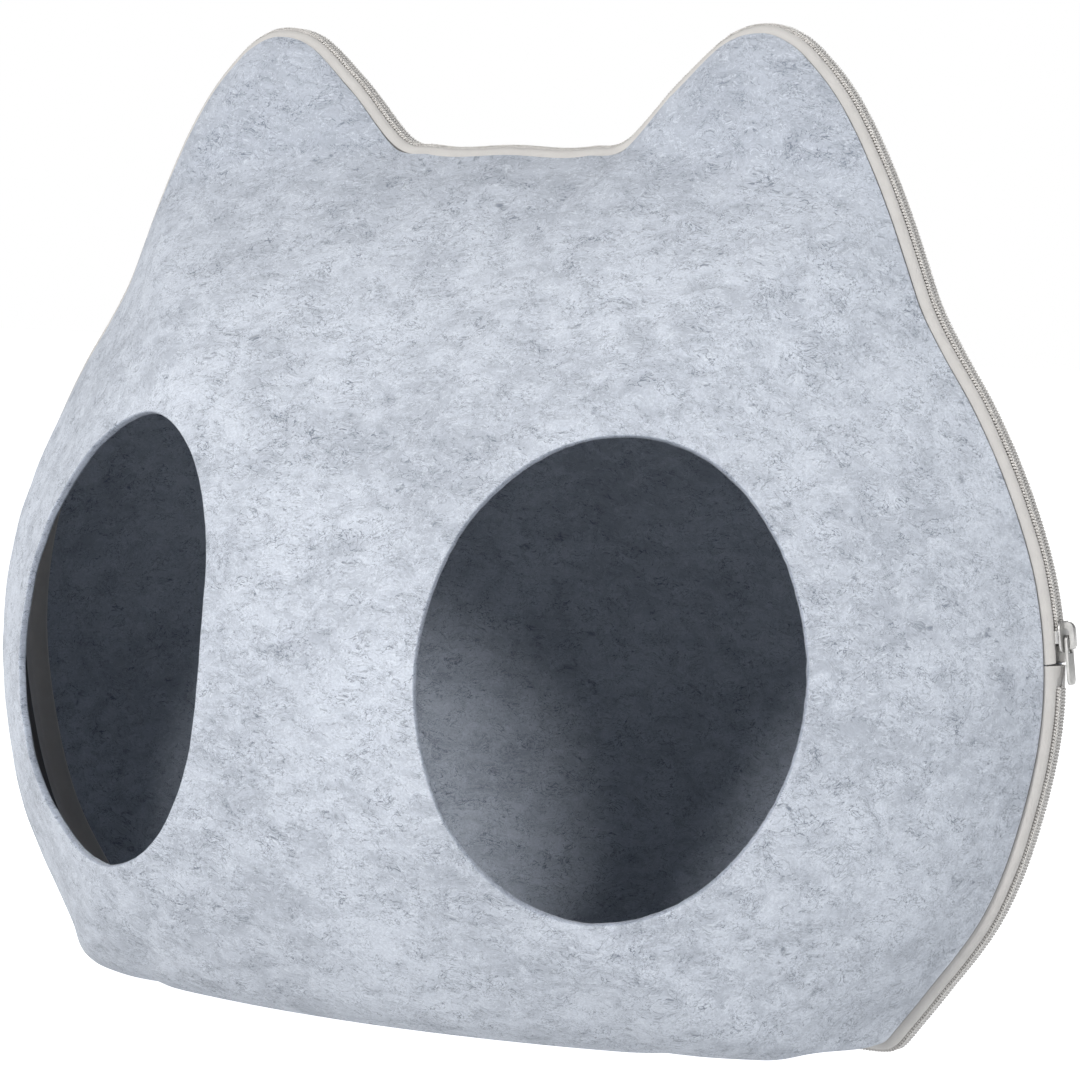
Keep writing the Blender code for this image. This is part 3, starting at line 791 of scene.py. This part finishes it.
# woven tape: ribs along and across from the UV map in metres, u along, v across
def tapeMaterial(name):
    m = Nodes(name)
    uv = m.add("ShaderNodeUVMap", uv_map="UVMap").outputs["UV"]
    parts = m.add("ShaderNodeSeparateXYZ", {0: uv})
    u, v = parts.outputs[0], parts.outputs[1]
    along, across = zipper["weave"]
    weft = m.math("SINE", m.math("MULTIPLY", u, 2 * math.pi / along))
    warp = m.math("SINE", m.math("MULTIPLY", v, 2 * math.pi / across))
    weave = m.math("MULTIPLY", weft, warp)
    place = m.add("ShaderNodeTexCoord").outputs["Object"]
    soft = m.noise(place, *zipper["softNoise"])
    fuzz = m.noise(place, *zipper["fuzzNoise"])
    # painted shade: the weave's hollows are darker than its ribs
    weaveShade = m.mapped(weave, -1, 1, 0.28, 0.0)
    colour = m.mix(weaveShade, (*zipper["tapeColour"], 1), (*zipper["tapeHollowPaintedShade"], 1))
    colour = m.mix(m.mapped(soft, 0.3, 0.7, 0.16, 0.0), colour, (*zipper["tapeWorn"], 1))
    colour = m.mix(m.mapped(fuzz, 0.35, 0.7, 0.0, 0.18), colour, (*zipper["tapeFuzz"], 1))
    tucked = m.mapped(v, *zipper["tapeTucked"], 0.0, 0.80)
    colour = m.mix(tucked, colour, (*zipper["tapeShadow"], 1))
    height = m.math("ADD", m.math("MULTIPLY", weave, 0.5), m.math("MULTIPLY", fuzz, 0.6))
    normal = m.bump(height, *zipper["tapeBump"])
    m.set(Base_Color=colour, Roughness=0.78, Normal=normal)
    m.set(Sheen_Weight=0.2, Sheen_Roughness=0.45, Specular_IOR_Level=0.3)
    return m.material


# monofilament and thread: a base colour, dulled towards a tint by two noises
def threadMaterial(name, base, tint, rough):
    m = Nodes(name)
    place = m.add("ShaderNodeTexCoord").outputs["Object"]
    soft = m.noise(place, *zipper["threadNoise"])
    broad = m.noise(place, *zipper["wornNoise"])
    colour = m.mix(m.mapped(soft, 0.3, 0.7, 0.35, 0.0), (*base, 1), (*tint, 1))
    colour = m.mix(m.mapped(broad, 0.35, 0.7, 0.0, 0.15), colour, (*tint, 1))
    normal = m.bump(soft, *zipper["threadBump"])
    m.set(Base_Color=colour, Roughness=rough, Normal=normal, Specular_IOR_Level=0.4)
    return m.material


tapeCloth = {-1: tapeMaterial("tapeFront"), 1: tapeMaterial("tapeBack")}
coilPlastic = {
    -1: threadMaterial("coilFront", *zipper["coilLook"]),
    1: threadMaterial("coilBack", *zipper["coilLook"]),
}
thread = threadMaterial("stitchThread", *zipper["threadLook"])
for side, word in ((-1, "front"), (1, "back")):
    zipTape("zipTape" + word.title(), side, tapeCloth[side], "zip_tape_" + word)
    zipCoil("zipCoil" + word.title(), side, coilPlastic[side], "zip_coil_" + word)
    stitches("zipStitch" + word.title(), side, thread)
print("zip tapes and coils done")

slider = {
    "long": 0.0114,
    "wide": 0.0090,
    "plate": 0.0011,
    "bridgeHigh": 0.0036,
    "bridgeWide": 0.0026,
    "bridgeEnd": (0.0022, 0.0026),  # the ellipse at its top, outwards and along
    "pullLong": 0.0190,
    "pullWide": 0.0058,
    "pullThick": 0.0012,
    "bevel": 0.00028,
    "pullBevel": 0.00030,
    "lift": 0.0004,  # the upper plate's underside over the crest
    "under": 0.0046,  # and the lower plate's top under it
    "metal": (0.50, 0.495, 0.485),
    "metalDull": (0.34, 0.335, 0.325),
    "roughness": (0.36, 0.54),
    "brush": (1.0, 1.0, 0.15),  # the lines are long where this is small
    "lineNoise": (2400.0, 3.0, 0.6),
    "cloudNoise": (260.0, 3.0, 0.6),
    "bump": (0.12, 0.00008),
}


# crest point under the slider, outwards and upwards along the rim
def sliderFrame():
    turn = np.array([math.radians(zipper["sliderAngle"])])
    x, z, nx, nz = (float(v[0]) for v in outlineFrame(rimRadius, turn))
    return np.array([x, 0, z]), np.array([nx, 0, nz]), np.array([-nz, 0, nx])


# outline extruded from low to high; plane "face" is (across, up), "side" is
# (out, up); a ring has its outer outline first and then its inner one
def block(name, outline, low, high, plane, material, ring=False):
    start, out, up = sliderFrame()
    across = np.array([0.0, 1.0, 0.0])
    outline = np.array(outline)
    rows = []
    for level in (low, high):
        if plane == "face":
            rows.append(start + out * level + across * outline[:, :1] + up * outline[:, 1:])
        else:
            rows.append(start + out * outline[:, :1] + up * outline[:, 1:] + across * level)
    n = len(outline)
    points = np.concatenate(rows)
    j = np.arange(n)
    k = (j + 1) % n
    faces = [np.stack([j, k, n + k, n + j], 1), j[None], (2 * n - 1 - j)[None]]
    if ring:
        half = n // 2
        i = np.arange(half)
        i2 = (i + 1) % half
        faces = [
            np.stack([i, i2, n + i2, n + i], 1),
            np.stack([half + i, half + i2, n + half + i2, n + half + i], 1)[:, ::-1],
            np.stack([i, half + i, half + i2, i2], 1),
            np.stack([n + i, n + i2, n + half + i2, n + half + i], 1),
        ]
    return makeMesh(name, points, faces, material)


# n points of a rounded rectangle: corner circles of radius r at the four corners
def roundedBox(halfA, halfB, r, per=5, middle=(0, 0)):
    t = np.concatenate([np.linspace(q, q + 90, per) for q in (0, 90, 180, 270)])
    a = np.cos(np.radians(t)) * r + np.repeat([1, -1, -1, 1], per) * (halfA - r)
    b = np.sin(np.radians(t)) * r + np.repeat([1, 1, -1, -1], per) * (halfB - r)
    return np.stack([a + middle[0], b + middle[1]], 1)


# satin plate: fine lines drawn out along Z, and cloudy dullness
def metalMaterial(name):
    m = Nodes(name)
    place = m.add("ShaderNodeTexCoord").outputs["Object"]
    brushed = m.add("ShaderNodeMapping", {"Vector": place, "Scale": slider["brush"]}).outputs[0]
    lines = m.noise(brushed, *slider["lineNoise"])
    cloud = m.noise(place, *slider["cloudNoise"])
    dull = m.mapped(cloud, 0.35, 0.7, 0.0, 0.5)
    colour = m.mix(dull, (*slider["metal"], 1), (*slider["metalDull"], 1))
    uneven = m.math("ADD", m.math("MULTIPLY", lines, 0.5), m.math("MULTIPLY", cloud, 0.5))
    rough = m.mapped(uneven, 0.3, 0.7, *slider["roughness"])
    normal = m.bump(lines, *slider["bump"])
    m.set(Base_Color=colour, Metallic=1.0, Roughness=rough, Normal=normal)
    return m.material


# the blocks as one piece, each still a closed solid
def joinBlocks(name, parts, material, node):
    with bpy.context.temp_override(active_object=parts[0], selected_editable_objects=parts):
        bpy.ops.object.join()
    item = parts[0]
    item.name = name
    item.data.materials.clear()
    item.data.materials.append(material)
    finishPiece(item, node)


# rounds every edge sharper than 30 degrees, and keeps the result as the mesh
def beveled(item, width):
    step = item.modifiers.new("roundEdges", "BEVEL")
    step.width = width
    step.segments = 3
    step.limit_method = "ANGLE"
    step.angle_limit = math.radians(30)
    graph = bpy.context.evaluated_depsgraph_get()
    mesh = bpy.data.meshes.new_from_object(item.evaluated_get(graph))
    item.modifiers.clear()
    item.data = mesh
    item.data.polygons.foreach_set("use_smooth", np.ones(len(item.data.polygons), bool))
    item.data.set_sharp_from_angle(angle=math.radians(35))
    return item


# two plates joined by a post, a lip along each side, and a bridge whose top end
# is a quarter ellipse: out = high - a (1 - cos t), up = b + b sin t
def zipSlider(material):
    half, top, plate = slider["wide"] / 2, slider["long"] / 2, slider["plate"]
    shape = [
        (-half * 0.66, -top), (half * 0.66, -top), (half * 0.86, -top * 0.80),
        (half, -top * 0.42), (half, top * 0.50), (half * 0.92, top * 0.80),
        (half * 0.70, top), (-half * 0.70, top), (-half * 0.92, top * 0.80),
        (-half, top * 0.50), (-half, -top * 0.42), (-half * 0.86, -top * 0.80),
    ]
    lift, under = slider["lift"], slider["under"]
    post = roundedBox(0.0009, 0.0012, 0.0004, 4, (0, -top + 0.0014))
    parts = [
        block("plateTop", shape, lift, lift + plate, "face", material),
        block("plateUnder", shape, -under - plate, -under, "face", material),
        block("post", post, -under - 0.0001, lift + 0.0002, "face", material),
    ]
    for s in (-1, 1):
        lip = roundedBox(0.00045, top * 0.45, 0.0002, 3, (s * (half - 0.00055), 0))
        parts.append(block("lip", lip, -0.0020, lift + 0.0002, "face", material))
    low, high = lift + plate - 0.0002, lift + plate + slider["bridgeHigh"]
    t = np.radians(np.linspace(0, 90, 6))
    a, b = slider["bridgeEnd"]
    outerTop = np.stack([high - a * (1 - np.cos(t)), b + b * np.sin(t)], 1)
    arch = [(high - 0.0006, -0.0046), (high, -0.0034)] + [tuple(p) for p in outerTop] + [
        (low, 0.0052), (low, 0.0034), (high - a, 0.0031), (high - 0.0014, 0.0020),
        (high - 0.0013, -0.0030), (high - 0.0017, -0.0046),
    ]
    foot = [(low, -0.0050), (low + 0.0012, -0.0048), (low + 0.0013, -0.0040), (low, -0.0036)]
    wide = slider["bridgeWide"] / 2
    for name, outline in (("bridge", arch), ("catch", foot)):
        parts.append(block(name, outline, -wide, wide, "side", material))
    for part in parts:
        beveled(part, slider["bevel"])
    joinBlocks("zipSlider", parts, material, "zip_slider")


# tab: a frame of one outer and one inner outline of the same number of points
def zipPull(material):
    low = slider["lift"] + slider["plate"] + 0.0004
    half, top = slider["pullWide"] / 2, 0.0005
    end = top - slider["pullLong"]
    outer = roundedBox(half, slider["pullLong"] / 2, 0.0018, 6, (0, (top + end) / 2))
    inner = roundedBox(0.0017, 0.0026, 0.0007, 6, (0, -0.0036))
    both = np.concatenate([outer, inner])
    item = block("zipPull", both, low, low + slider["pullThick"], "face", material, ring=True)
    finishPiece(beveled(item, slider["pullBevel"]), "zip_pull")


zipSlider(metalMaterial("sliderMetal"))
zipPull(metalMaterial("pullMetal"))
print("slider and pull done")

studio = {
    "azimuth": 30.509,
    "elevation": 3.064,
    "roll": 2.059,
    "distance": 1.5648,
    "focal": 3967.7 / 1080 * 36,
    "aim": (0.0464, -0.05, 0.1938),
    "seenWorld": (1.0, 1.0, 1.0),  # behind the bed
    "skyLight": (0.95, 0.975, 1.0),
    "skyAbove": 0.24,
    "skyBelow": 0.72,
    "floorGlow": 1.0,
    "floorReach": 40.0,
    "floorColours": ((0.93, 0.93, 0.935), (0.95, 0.95, 0.95)),
    # name, place, aim, size, power, colour
    "lights": (
        ("keyLight", (-0.04, -2.30, 1.30), (0, -0.05, 0.16), 0.75, 41.5, (1.0, 0.995, 0.985)),
        ("sideLight", (2.40, 0.10, 0.90), (0, -0.05, 0.20), 1.0, 15, (0.985, 0.995, 1.0)),
        ("leftLight", (-2.30, -0.80, 1.00), (0, -0.05, 0.16), 1.4, 11, (0.985, 0.995, 1.0)),
    ),
}


def makeCamera():
    a, e, r = (math.radians(studio[k]) for k in ("azimuth", "elevation", "roll"))
    back = Vector((math.sin(a) * math.cos(e), -math.cos(a) * math.cos(e), math.sin(e)))
    right = Vector((math.cos(a), math.sin(a), 0))
    up = right.cross(-back)
    axisX = right * math.cos(r) + up * math.sin(r)
    axisY = up * math.cos(r) - right * math.sin(r)
    data = bpy.data.cameras.new("camera")
    data.lens = studio["focal"]
    data.sensor_width = 36
    data.sensor_fit = "AUTO"
    item = bpy.data.objects.new("camera", data)
    turn = Matrix((axisX, axisY, back)).transposed()
    place = Vector(studio["aim"]) + back * studio["distance"]
    item.matrix_world = Matrix.Translation(place) @ turn.to_4x4()
    bpy.context.scene.collection.objects.link(item)
    bpy.context.scene.camera = item


def softLight(name, place, target, size, power, colour):
    data = bpy.data.lights.new(name, "AREA")
    data.shape = "DISK"
    data.size = size
    data.energy = power
    data.color = colour
    item = bpy.data.objects.new(name, data)
    item.location = place
    item.rotation_euler = (Vector(place) - Vector(target)).to_track_quat("Z", "Y").to_euler()
    bpy.context.scene.collection.objects.link(item)


def makeFloor():
    m = Nodes("paleFloor")
    place = m.add("ShaderNodeTexCoord").outputs["Object"]
    tone = m.mapped(m.noise(place, 3.0, 2.0, 0.5), 0.3, 0.7, 0.0, 1.0)
    low, high = ((*colour, 1) for colour in studio["floorColours"])
    m.set(Base_Color=m.mix(tone, low, high), Roughness=0.9)
    m.set(Emission_Color=(1.0, 1.0, 1.0, 1), Emission_Strength=studio["floorGlow"])
    s = studio["floorReach"]
    points = np.array([(-s, -s, 0), (s, -s, 0), (s, s, 0), (-s, s, 0)], float)
    item = makeMesh("floor", points, [np.array([[0, 1, 2, 3]])], m.material, closed=False)
    item.visible_diffuse = False  # the world below gives the light from under the bed


# white backdrop for the camera, softer light for everything else
def makeWorld():
    world = bpy.data.worlds.new("studioWorld")
    world.use_nodes = True
    tree = world.node_tree
    light = tree.nodes["Background"]
    light.inputs[0].default_value = (*studio["skyLight"], 1)
    parts = tree.nodes.new("ShaderNodeSeparateXYZ")
    tree.links.new(tree.nodes.new("ShaderNodeTexCoord").outputs["Generated"], parts.inputs[0])
    level = tree.nodes.new("ShaderNodeMapRange")
    below, above = studio["skyBelow"], studio["skyAbove"]
    for key, value in {"From Min": -0.2, "From Max": 0.2, "To Min": below, "To Max": above}.items():
        level.inputs[key].default_value = value
    tree.links.new(parts.outputs["Z"], level.inputs["Value"])
    tree.links.new(level.outputs["Result"], light.inputs[1])
    seen = tree.nodes.new("ShaderNodeBackground")
    seen.inputs[0].default_value = (*studio["seenWorld"], 1)
    ray = tree.nodes.new("ShaderNodeLightPath")
    choose = tree.nodes.new("ShaderNodeMixShader")
    tree.links.new(ray.outputs["Is Camera Ray"], choose.inputs[0])
    tree.links.new(light.outputs[0], choose.inputs[1])
    tree.links.new(seen.outputs[0], choose.inputs[2])
    tree.links.new(choose.outputs[0], tree.nodes["World Output"].inputs["Surface"])
    bpy.context.scene.world = world


makeCamera()
makeFloor()
makeWorld()
for light in studio["lights"]:
    softLight(*light)
bpy.context.scene.view_settings.view_transform = "Standard"
print("camera, floor and lights done")
